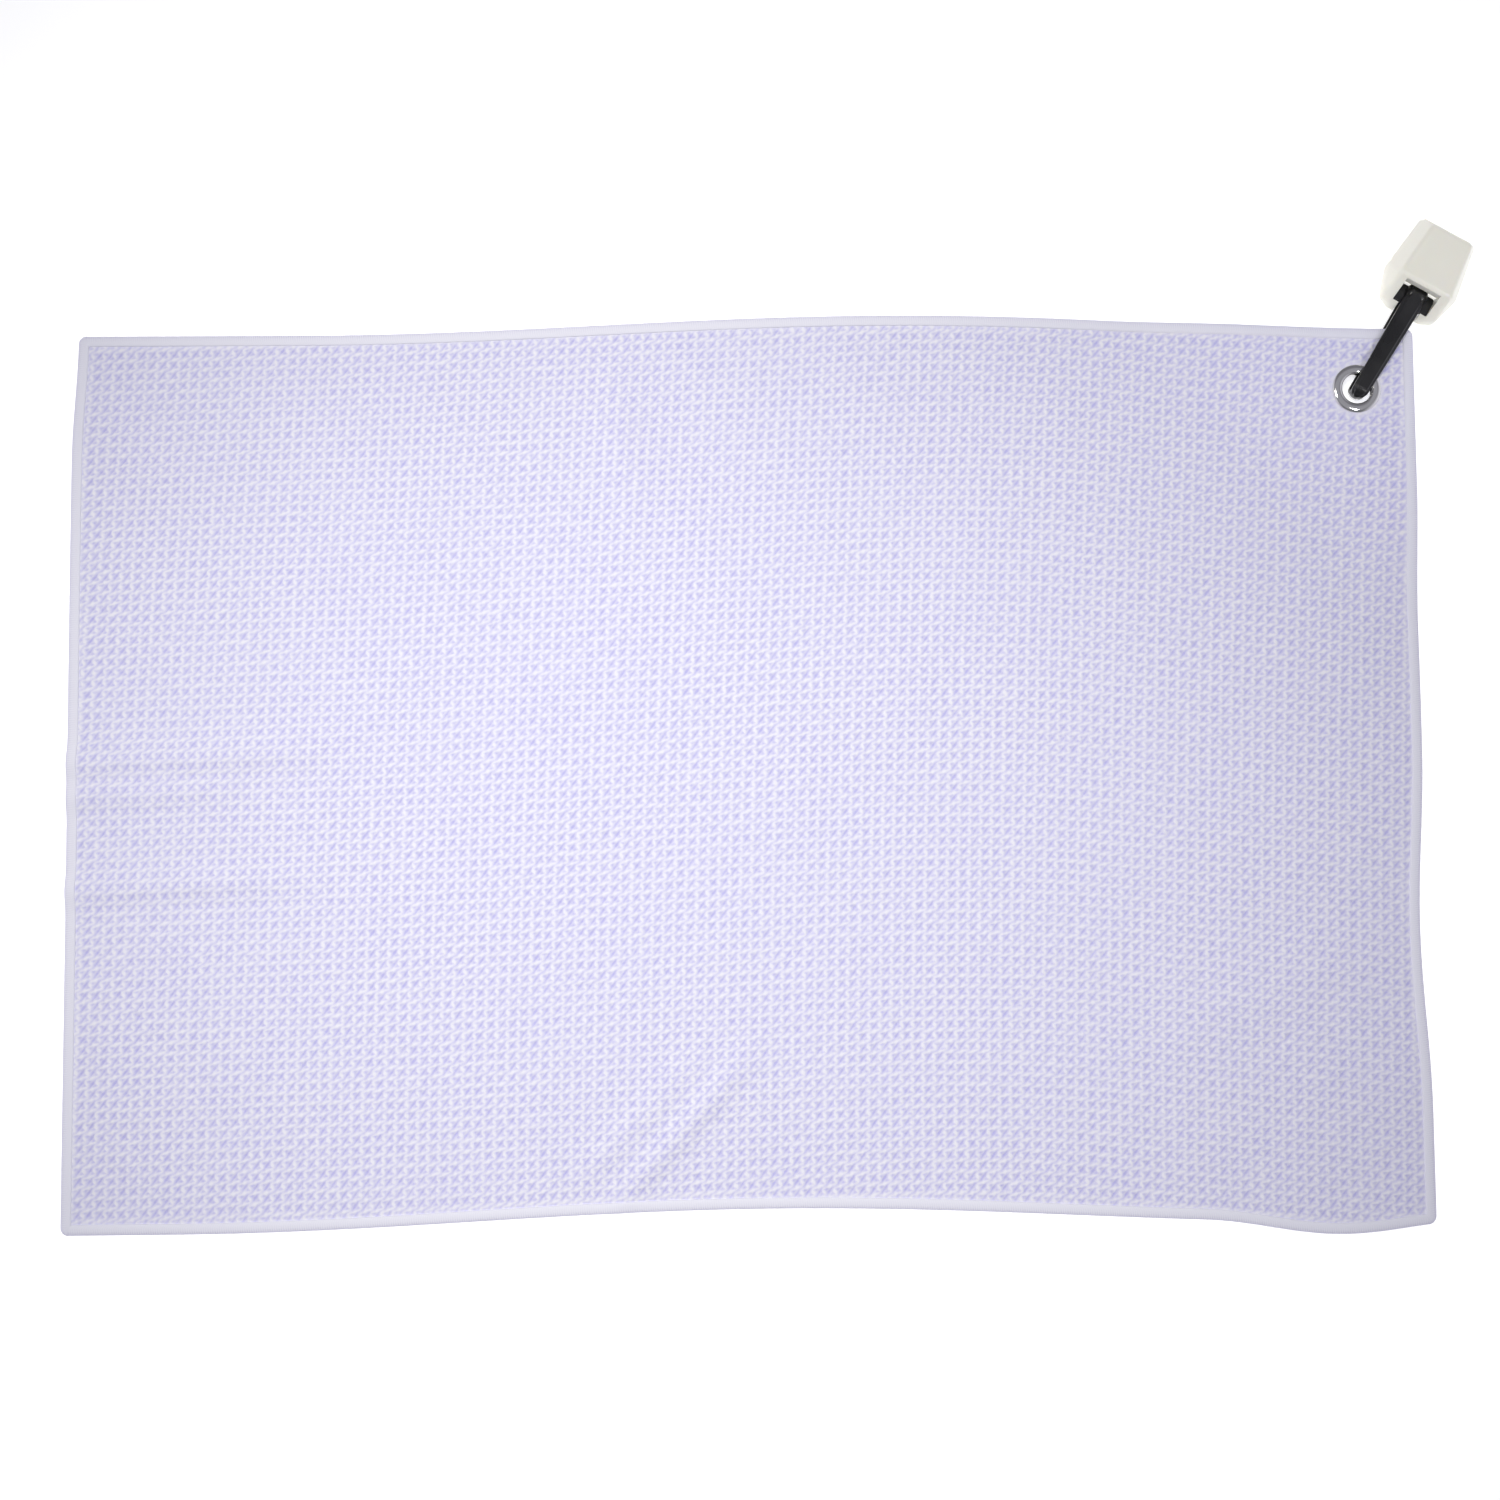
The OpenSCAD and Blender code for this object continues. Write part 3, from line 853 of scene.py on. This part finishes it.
def combined(solid, *steps):
    """The solid after each (operation, other solid) of steps."""
    objects = []
    for points, faces in [solid] + [other for _, other in steps]:
        mesh = bpy.data.meshes.new("work")
        mesh.from_pydata([tuple(p) for p in points], [], faces)
        objects.append(bpy.data.objects.new("work", mesh))
        bpy.context.scene.collection.objects.link(objects[-1])
    for (operation, _), other in zip(steps, objects[1:]):
        modifier = objects[0].modifiers.new("step", "BOOLEAN")
        modifier.operation = operation
        modifier.object = other
        modifier.solver = "EXACT"
    made = objects[0].evaluated_get(bpy.context.evaluated_depsgraph_get()).to_mesh()
    result = ([v.co.copy() for v in made.vertices], [tuple(p.vertices) for p in made.polygons])
    for item in objects:
        bpy.data.meshes.remove(item.data)
    return result


LEVEL_ANGLE = math.radians(0.5)


def join_level_faces(mesh):
    """Makes one face of neighbours that lie in one plane."""
    bmesh.ops.dissolve_limit(mesh, angle_limit=LEVEL_ANGLE, verts=mesh.verts, edges=mesh.edges)


def hull(points):
    """A bmesh of the smallest convex solid round the points."""
    mesh = bmesh.new()
    for point in points:
        mesh.verts.new(point)
    made = bmesh.ops.convex_hull(mesh, input=mesh.verts)
    inner = [item for item in made["geom_interior"] if isinstance(item, bmesh.types.BMVert)]
    bmesh.ops.delete(mesh, geom=inner, context="VERTS")
    join_level_faces(mesh)
    return mesh


def drawn_in(outline, inset):
    """A convex outline, anticlockwise, with every side moved inwards."""
    result = []
    for i, here in enumerate(outline):
        here = Vector(here)
        first = (here - Vector(outline[i - 1])).normalized()
        second = (Vector(outline[(i + 1) % len(outline)]) - here).normalized()
        inwards = Vector((-first.y - second.y, first.x + second.x))
        result.append(tuple(here + inwards * inset / (inwards.length_squared / 2)))
    return result


def harden(piece, angle):
    """Flat faces stay flat and only the rounded edges between them are smooth."""
    piece.data.set_sharp_from_angle(angle=math.radians(angle))
    weighted = piece.modifiers.new("weighted", "WEIGHTED_NORMAL")
    weighted.keep_sharp = True


# ---- eyelet

HOLE_RADIUS = 6.7
BARREL_RADIUS = 7.4
FLANGE_RADIUS = 11.0
FLANGE_THICKNESS = 1.65
PINCHED_CLOTH = 1.2
at_eyelet = Matrix.Translation((eyelet.x, eyelet.y, LOOP_MIDDLE))


def arc(centre, radii, start, end, count):
    """Points of part of an ellipse, angles in degrees."""
    turns = np.radians(np.linspace(start, end, count))
    return [(centre[0] + radii[0] * math.cos(a), centre[1] + radii[1] * math.sin(a)) for a in turns]


TURNED_STEPS = 96
RIM_ROUND = 0.3
ROLL_RADIUS = 8.2
ROLL_DROP = 1.0


def eyelet_front():
    """A domed flange that runs down into the barrel, whose lower end is rolled over the back washer."""
    low = PINCHED_CLOTH / 2
    high = low + FLANGE_THICKNESS
    crown, mouth_drop, rim_lift = 8.7, 0.8, 0.45
    roll_middle = (ROLL_RADIUS, -low - ROLL_DROP)
    profile = arc((crown, high - mouth_drop), (crown - HOLE_RADIUS, mouth_drop), 180, 90, 9)
    profile += arc((crown, low + rim_lift), (FLANGE_RADIUS - crown, high - low - rim_lift), 82, 0, 12)
    profile += [(FLANGE_RADIUS - 0.05, low + 0.15), (FLANGE_RADIUS - RIM_ROUND, low), (BARREL_RADIUS, low)]
    profile += [(BARREL_RADIUS, -low - 0.9)]
    profile += arc(roll_middle, (0.75, 0.4), 180, 270, 6)
    profile += arc(roll_middle, (1.5, 1.0), 270, 180, 9)
    return turned(profile, TURNED_STEPS, True)


def eyelet_back():
    """A plain washer with rounded rims."""
    low = -PINCHED_CLOTH / 2 - FLANGE_THICKNESS
    high = -PINCHED_CLOTH / 2
    inner, rim = BARREL_RADIUS + 0.02, 1.2
    profile = [(inner, high), (FLANGE_RADIUS - RIM_ROUND, high), (FLANGE_RADIUS, high - RIM_ROUND)]
    profile += arc((FLANGE_RADIUS - rim, high - RIM_ROUND), (rim, high - low - RIM_ROUND), 0, -90, 8)
    profile += [(BARREL_RADIUS + 0.6, low), (inner, low + 0.4)]
    return turned(profile, TURNED_STEPS, True)


def add_eyelet(material):
    """The eyelet's two halves, which ride on the towel."""
    pieces = []
    for name, solid, node in (("eyelet_flange", eyelet_front(), "eyelet_front"),
                              ("eyelet_washer", eyelet_back(), "eyelet_back")):
        mesh = make_mesh(name, *solid, material, at_eyelet)
        pieces.append(add_piece(name, mesh, "towel", "eyelet_metal", node))
    return pieces


# ---- strap

HEAD_TURN = math.radians(2.5)
LIMB_THICKNESS = 2.2
TIP_X = -3.8
TIP_RADIUS = 3.7
ROOT_HALF = 4.75
ROOT_ROUND = 6.0
ROOT_REACH = 7.4
STATIONS = 28
at_clip = Matrix.Translation((head.x, head.y, 0)) @ Matrix((clip_along, clip_left, UP)).transposed().to_4x4()
strap_along = Matrix.Rotation(-HEAD_TURN, 3, "Z") @ clip_along
strap_reach = Vector((head.x - eyelet.x, head.y - eyelet.y, 0)).dot(strap_along)
at_strap = at_clip @ Matrix.Rotation(-HEAD_TURN, 4, "Z") @ Matrix.Translation((-strap_reach, 0, 0))
TIP_HALF = 0.7
SPINE_STEPS = 64
TRUNNION_RADIUS, TRUNNION_HALF, TRUNNION_CHAMFER = 1.4, 10.0, 0.35
WING_NEAR_X, WING_FAR_X, WING_HALF, WING_CORNER = -5.8, 2.6, 8.4, 1.2
WING_RISE = 1.4
# Half of the strap's section, from its inner face over the side to the raised rib: inset, outward
STRAP_SECTION = [(0.5, -1.1), (0.14, -0.98), (0.0, -0.7), (0.0, 0.1), (0.12, 0.36), (0.42, 0.5), (1.3, 0.6),
                 (1.5, 0.72), (1.72, 1.0), (2.0, 1.1)]
# Half of the spine's outline between its wings: radius, distance from the middle
SPINE_PROFILE = [(1.5, -5.15), (3.0, -4.75), (4.0, -4.1), (4.6, -3.4), (4.85, -2.7)]


def strap_half(x):
    """Half the strap's width at x from the eyelet: a round tip, a long taper and a rounded root."""
    centre = TIP_X + TIP_RADIUS
    if x < centre:
        return math.sqrt(max(TIP_RADIUS ** 2 - (x - centre) ** 2, TIP_HALF ** 2))
    taper = TIP_RADIUS + (ROOT_HALF - TIP_RADIUS) * (x - centre) / (strap_reach - centre)
    return taper * math.sqrt(1 - max(0.0, (x - strap_reach + ROOT_ROUND) / ROOT_REACH) ** 2)


def strap_path():
    """Stations along the loop: middle point (x, z) and the direction that faces out of it."""
    bend_x = TIP_X + LOOP_MIDDLE
    radius = LOOP_MIDDLE - LIMB_THICKNESS / 2
    runs = np.linspace(strap_reach, bend_x, STATIONS, endpoint=False)
    stations = [(x, LOOP_MIDDLE - radius, 0.0, -1.0) for x in runs]
    for turn in np.radians(np.linspace(270, 90, STATIONS)):
        out_x, out_z = math.cos(turn), math.sin(turn)
        stations.append((bend_x + radius * out_x, LOOP_MIDDLE + radius * out_z, out_x, out_z))
    stations += [(x, LOOP_MIDDLE + radius, 0.0, 1.0) for x in runs[::-1]]
    return stations


def strap_loop():
    """The loop: one section swept round, as wide at every point as the strap's plan allows there."""
    section = [(1, inset, out) for inset, out in STRAP_SECTION]
    section += [(-1, inset, out) for inset, out in STRAP_SECTION[::-1]]
    points = []
    stations = strap_path()
    for x, z, out_x, out_z in stations:
        for side, inset, out in section:
            point_x = x + out * out_x
            half = strap_half(point_x)
            points.append((point_x, side * half * (1 - inset / ROOT_HALF), z + out * out_z))
    rings, count = len(stations), len(section)
    return solid_of(as_bmesh((points, ring_quads(rings, count) + end_caps(rings, count))))


def strap_head():
    """The T head: a round spine, two wings with rounded corners and a trunnion at each end."""
    profile = SPINE_PROFILE + [(radius, -height) for radius, height in SPINE_PROFILE[::-1]]
    spine = across(turned(profile, SPINE_STEPS), 0, LOOP_MIDDLE)
    trunnions = across(rod(TRUNNION_RADIUS, TRUNNION_HALF, TRUNNION_CHAMFER), 0, LOOP_MIDDLE)
    corner_x = WING_FAR_X - WING_CORNER
    corner_y = WING_HALF - WING_CORNER
    radii = (WING_CORNER, WING_CORNER)
    outline = [(WING_NEAR_X, -WING_HALF)] + arc((corner_x, -corner_y), radii, -90, 0, 6)
    outline += arc((corner_x, corner_y), radii, 0, 90, 6) + [(WING_NEAR_X, WING_HALF)]
    wings = prism(outline, LOOP_MIDDLE - WING_RISE, LOOP_MIDDLE + WING_RISE)
    return together(spine, softened(wings, size=0.4, steps=3, angle=40), trunnions)


def add_strap(material):
    """Loop and head as one piece, in the clip's frame."""
    loop = moved(strap_loop(), at_clip.inverted() @ at_strap)
    mesh = make_mesh("strap", *together(loop, strap_head()), material, at_clip)
    piece = add_piece("strap", mesh, "strap", "strap_plastic", "strap_loop")
    harden(piece, 50)
    return piece


# ---- clip

CLIP_BASE = [(-8.4, -8.5), (-6.0, -13.5), (7.6, -17.6), (34.0, -13.7)]
CLIP_TOP = [(2.6, -12.6), (28.6, -9.9)]
CLIP_HEIGHT = 15.5
CLIP_WALL = 2.0
SKIRT_Z = 0.4
RIM_Z = 3.6
SKIRT_END_X = 10.3
PIN_X = (pin - head).dot(clip_along)
PIN_RADIUS = 1.25
CHEEK_INNER = 8.5
CHEEK_OUTER = 10.5
NECK_HALF = 5.5
PAD_NEAR_X, PAD_FAR_X, PAD_HALF = 27.5, 33.0, 10.5
PAD_SEAT = 0.5
PAD_PLAY = 0.05
BAR_Z = 4.2
JAW_TOP = 2.6
HULL_LIFT = 0.4
CORE_FLOOR = -1.0
CHEEK_NEAR_X, CHEEK_FAR_X = -8.4, 3.2
BULKHEAD_NEAR_X, BULKHEAD_FAR_X, BULKHEAD_Z = 14.0, 15.5, 4.4
BAR_NEAR_X, BAR_FAR_X, BAR_HEIGHT = 27.0, 34.0, 2.2
RIB_HALF = 17.6
BOSS_RADIUS, BOSS_HALF, BOSS_Y = 3.0, 3, 15.0
PIN_HALF = 14.2
WINDOW_NEAR_X, WINDOW_FAR_X = -6.2, 1.6
NECK_NEAR_X, NECK_FAR_X = -10, -6.1
TRUNNION_BORE = 1.45
# Levels under and over the clip
BELOW, ABOVE = -1, 20


def mirrored(side):
    """A whole outline from its points on one side of the clip's middle."""
    return side + [(x, -y) for x, y in side[::-1]]


def clip_envelope():
    """The clip's outside: drafted sides, a face sloping down to the strap, and rounded edges."""
    base, top = mirrored(CLIP_BASE), mirrored(CLIP_TOP)
    mesh = hull([(x, y, z) for z in (SKIRT_Z, RIM_Z + HULL_LIFT) for x, y in base]
                + [(x, y, CLIP_HEIGHT) for x, y in top])
    soften(mesh, size=1.3, steps=4, angle=8, chosen=lambda edge: max(v.co.z for v in edge.verts) > RIM_Z)
    return solid_of(mesh)


def clip_core(inset, low):
    """The clip's shape with every wall drawn in, from a low level up."""
    base, top = drawn_in(mirrored(CLIP_BASE), inset), drawn_in(mirrored(CLIP_TOP), inset)
    return solid_of(hull([(x, y, z) for z in (low, RIM_Z + HULL_LIFT) for x, y in base]
                         + [(x, y, CLIP_HEIGHT - inset) for x, y in top]))


def clip_ribs():
    """What stands inside the shell: window cheeks, pin bosses, a bulkhead and the bar for the upper pad."""
    ribs = []
    for side in (-1, 1):
        y0, y1 = sorted((side * CHEEK_INNER, side * CHEEK_OUTER))
        ribs.append(slab(CHEEK_NEAR_X, CHEEK_FAR_X, y0, y1, SKIRT_Z, CLIP_HEIGHT))
        boss = turned([(BOSS_RADIUS, -BOSS_HALF), (BOSS_RADIUS, BOSS_HALF)], 32)
        ribs.append(across(boss, PIN_X, pin.z, side * BOSS_Y))
    ribs.append(block(BULKHEAD_NEAR_X, BULKHEAD_FAR_X, RIB_HALF, BULKHEAD_Z, CLIP_HEIGHT))
    ribs.append(block(BAR_NEAR_X, BAR_FAR_X, RIB_HALF, BAR_Z, BAR_Z + BAR_HEIGHT))
    return ribs


def bore(radius, half, x, z):
    """A round hole's volume, laid across the clip."""
    return across(turned([(radius, -half), (radius, half)], 40), x, z)


def clip_openings():
    """What is cut out of the shell: the window, the neck, the bores and the upper pad's seat."""
    return [
        block(WINDOW_NEAR_X, WINDOW_FAR_X, CHEEK_INNER, BELOW, ABOVE),
        block(NECK_NEAR_X, NECK_FAR_X, NECK_HALF, BELOW, ABOVE),
        bore(LOOP_MIDDLE + 0.3, NECK_HALF, 0, LOOP_MIDDLE),
        bore(TRUNNION_BORE, CHEEK_OUTER + 0.5, 0, LOOP_MIDDLE),
        bore(PIN_RADIUS, PIN_HALF, PIN_X, pin.z),
        block(PAD_NEAR_X, PAD_FAR_X, PAD_HALF, BAR_Z - 1, BAR_Z + PAD_SEAT),
    ]


def clip_body():
    """The shell with its ribs and openings, and room for the jaw below its rim."""
    past_x, past_y, below = 60, 40, -5
    jaw_room = block(SKIRT_END_X, past_x, past_y, below, RIM_Z)
    rib_inset, rib_lift = CLIP_WALL / 3, 0.2
    shell = combined(clip_envelope(), ("DIFFERENCE", clip_core(CLIP_WALL, CORE_FLOOR)))
    first, *others = clip_ribs()
    ribs = combined(first, *[("UNION", rib) for rib in others],
                    ("INTERSECT", clip_core(rib_inset, SKIRT_Z + rib_lift)))
    body = combined(shell, ("UNION", ribs), ("DIFFERENCE", jaw_room))
    body = combined(body, *[("DIFFERENCE", opening) for opening in clip_openings()])
    mesh = as_bmesh(body)
    bmesh.ops.remove_doubles(mesh, verts=mesh.verts, dist=0.001)
    join_level_faces(mesh)
    soften(mesh, size=0.28, steps=2, angle=40, chosen=window_edge)
    return solid_of(mesh)


def window_edge(edge):
    """Whether an edge borders the window or the neck on the clip's outer face."""
    middle = (edge.verts[0].co + edge.verts[1].co) / 2
    slack, least_z, least_length = 0.1, 6, 0.7
    on_window = abs(middle.y) <= CHEEK_INNER + 0.01 and NECK_NEAR_X < middle.x < WINDOW_FAR_X + slack
    return on_window and middle.z > least_z and edge.calc_length() > least_length


PAD_RIBS = 5
PAD_RIB_DEPTH = 0.35
UPPER_GRIP_Z, LOWER_GRIP_Z = 3.5, 3.3


def ribbed_pad(low, high, face_up):
    """A rubber pad with ribs across its gripping face."""
    near, far = PAD_NEAR_X + PAD_PLAY, PAD_FAR_X - PAD_PLAY
    pitch = (PAD_FAR_X - PAD_NEAR_X - 2 * PAD_PLAY) / PAD_RIBS
    grip = []
    for i in range(PAD_RIBS):
        start = near + i * pitch
        grip += [(start, PAD_RIB_DEPTH), (start + 0.3 * pitch, 0), (start + 0.7 * pitch, 0),
                 (start + pitch, PAD_RIB_DEPTH)]
    face, root = (high, low) if face_up else (low, high)
    sign = -1 if face_up else 1
    outline = [(x, face + sign * d) for x, d in grip] + [(far, root), (near, root)]
    return softened(extruded(outline, PAD_HALF - PAD_PLAY), size=0.08, steps=2, angle=25)


JAW_NEAR_X, JAW_STEP_X, JAW_NECK = 6.4, 12.5, 13.1
TOE_HALF = 12.0
TOE = [(33.0, 0.02), (36.4, 0.02), (36.4, 0.8), (34.0, JAW_TOP - 0.02), (33.0, JAW_TOP - 0.02)]
LUG_INNER, LUG_OUTER, LUG_RADIUS, LUG_FOOT = 9.2, 11.7, 2.7, 1.8


def clip_jaw():
    """The lower jaw: a plate with two lugs for the pin, a seat for its pad and a toe to push it open."""
    slope = (CLIP_BASE[3][1] - CLIP_BASE[2][1]) / (CLIP_BASE[3][0] - CLIP_BASE[2][0])
    wide = -(CLIP_BASE[2][1] + slope * (JAW_STEP_X - CLIP_BASE[2][0]))
    outline = mirrored([(JAW_NEAR_X, -JAW_NECK), (JAW_STEP_X, -JAW_NECK), (JAW_STEP_X, -wide), CLIP_BASE[3]])
    plate = softened(prism(outline, 0, JAW_TOP), size=0.35)
    toe = softened(extruded(TOE, TOE_HALF), size=0.25)
    lugs = []
    for side in (-1, 1):
        y0, y1 = sorted((side * LUG_INNER, side * LUG_OUTER))
        lugs.append(across(rod(LUG_RADIUS, (LUG_OUTER - LUG_INNER) / 2, 0.2), PIN_X, pin.z, (y0 + y1) / 2))
        lugs.append(slab(PIN_X - LUG_FOOT, PIN_X + LUG_FOOT, y0 + 0.1, y1 - 0.1, 0.5, pin.z))
    return combined(plate, ("UNION", toe), *[("UNION", lug) for lug in lugs],
                    ("DIFFERENCE", bore(PIN_RADIUS + 0.05, 12.5, PIN_X, pin.z)),
                    ("DIFFERENCE", block(PAD_NEAR_X, PAD_FAR_X, PAD_HALF, JAW_TOP - PAD_SEAT, 4)))


COIL_RADIUS, COIL_HALF, WIRE_RADIUS, LEG_LENGTH = 2.55, 2.75, 0.45, 4.8
COIL_START = -90
COIL_SPAN = 5 * 360 + 156
COIL_STEPS = 150
WIRE_SIDES = 12


def spring_wire():
    """A torsion spring: a coil round the pin, one leg along the jaw and one up to the shell."""
    path = [(LEG_LENGTH, COIL_HALF, -COIL_RADIUS), (LEG_LENGTH / 2, COIL_HALF, -COIL_RADIUS)]
    for i in range(COIL_STEPS + 1):
        turn = math.radians(COIL_START - COIL_SPAN * i / COIL_STEPS)
        y = COIL_HALF - 2 * COIL_HALF * i / COIL_STEPS
        path.append((COIL_RADIUS * math.cos(turn), y, COIL_RADIUS * math.sin(turn)))
    last = Vector(path[-1])
    along = Vector((last.z, 0, -last.x)).normalized()
    path += [last + along * LEG_LENGTH / 2, last + along * LEG_LENGTH]
    return tube([Vector(p) + Vector((PIN_X, 0, pin.z)) for p in path], WIRE_RADIUS, WIRE_SIDES)


def add_clip(plastic, steel, wire, rubber):
    """Shell, jaw, pin, spring and pads, each riding on the clip's body or the jaw's."""
    pin_bar = across(rod(PIN_RADIUS, PIN_HALF, 0.25), PIN_X, pin.z)
    upper = ribbed_pad(UPPER_GRIP_Z, BAR_Z + PAD_SEAT, False)
    lower = ribbed_pad(JAW_TOP - PAD_SEAT, LOWER_GRIP_Z, True)
    table = [
        # piece, solid, material, body, slot, node, angle in degrees past which an edge stays sharp
        ("clip_shell", clip_body(), plastic, "clip", "clip_plastic", "clip_body", 30),
        ("jaw_plate", clip_jaw(), plastic, "jaw", "clip_plastic", "clip_jaw", 30),
        ("steel_pin", pin_bar, steel, "clip", "pin_steel", "hinge_pin", 40),
        ("coil_spring", spring_wire(), wire, "clip", "spring_steel", "torsion_spring", 60),
        ("upper_grip", upper, rubber, "clip", "pad_rubber", "upper_pad", 50),
        ("lower_grip", lower, rubber, "jaw", "pad_rubber", "lower_pad", 50),
    ]
    for name, solid, material, body, slot, node, angle in table:
        piece = add_piece(name, make_mesh(name, *solid, material, at_clip), body, slot, node)
        harden(piece, angle)


# ---- build

bpy.context.scene.view_settings.view_transform = "Standard"
add_camera()
add_world()
add_lamp("key", **KEY_LAMP)
add_lamp("clip_lamp", **CLIP_LAMP)
add_floor()

cloth = add_cloth(waffle_material())
thread = hem_material()
hems = [add_hem(side, thread) for side in ("top", "bottom", "left", "right")]
eyelets = add_eyelet(metal_material("eyelet_metal", colour=(0.86, 0.85, 0.84), low=0.05, high=0.16))
add_strap(plastic_material("strap_plastic", colour=(0.006, 0.006, 0.007), worn=(0.03, 0.03, 0.032),
                           roughness=0.3, coat=0.2))
add_clip(clip_material(),
         metal_material("pin_steel", colour=(0.6, 0.6, 0.62), low=0.2, high=0.35),
         metal_material("spring_steel", colour=(0.5, 0.5, 0.52), low=0.25, high=0.4),
         rubber_material())
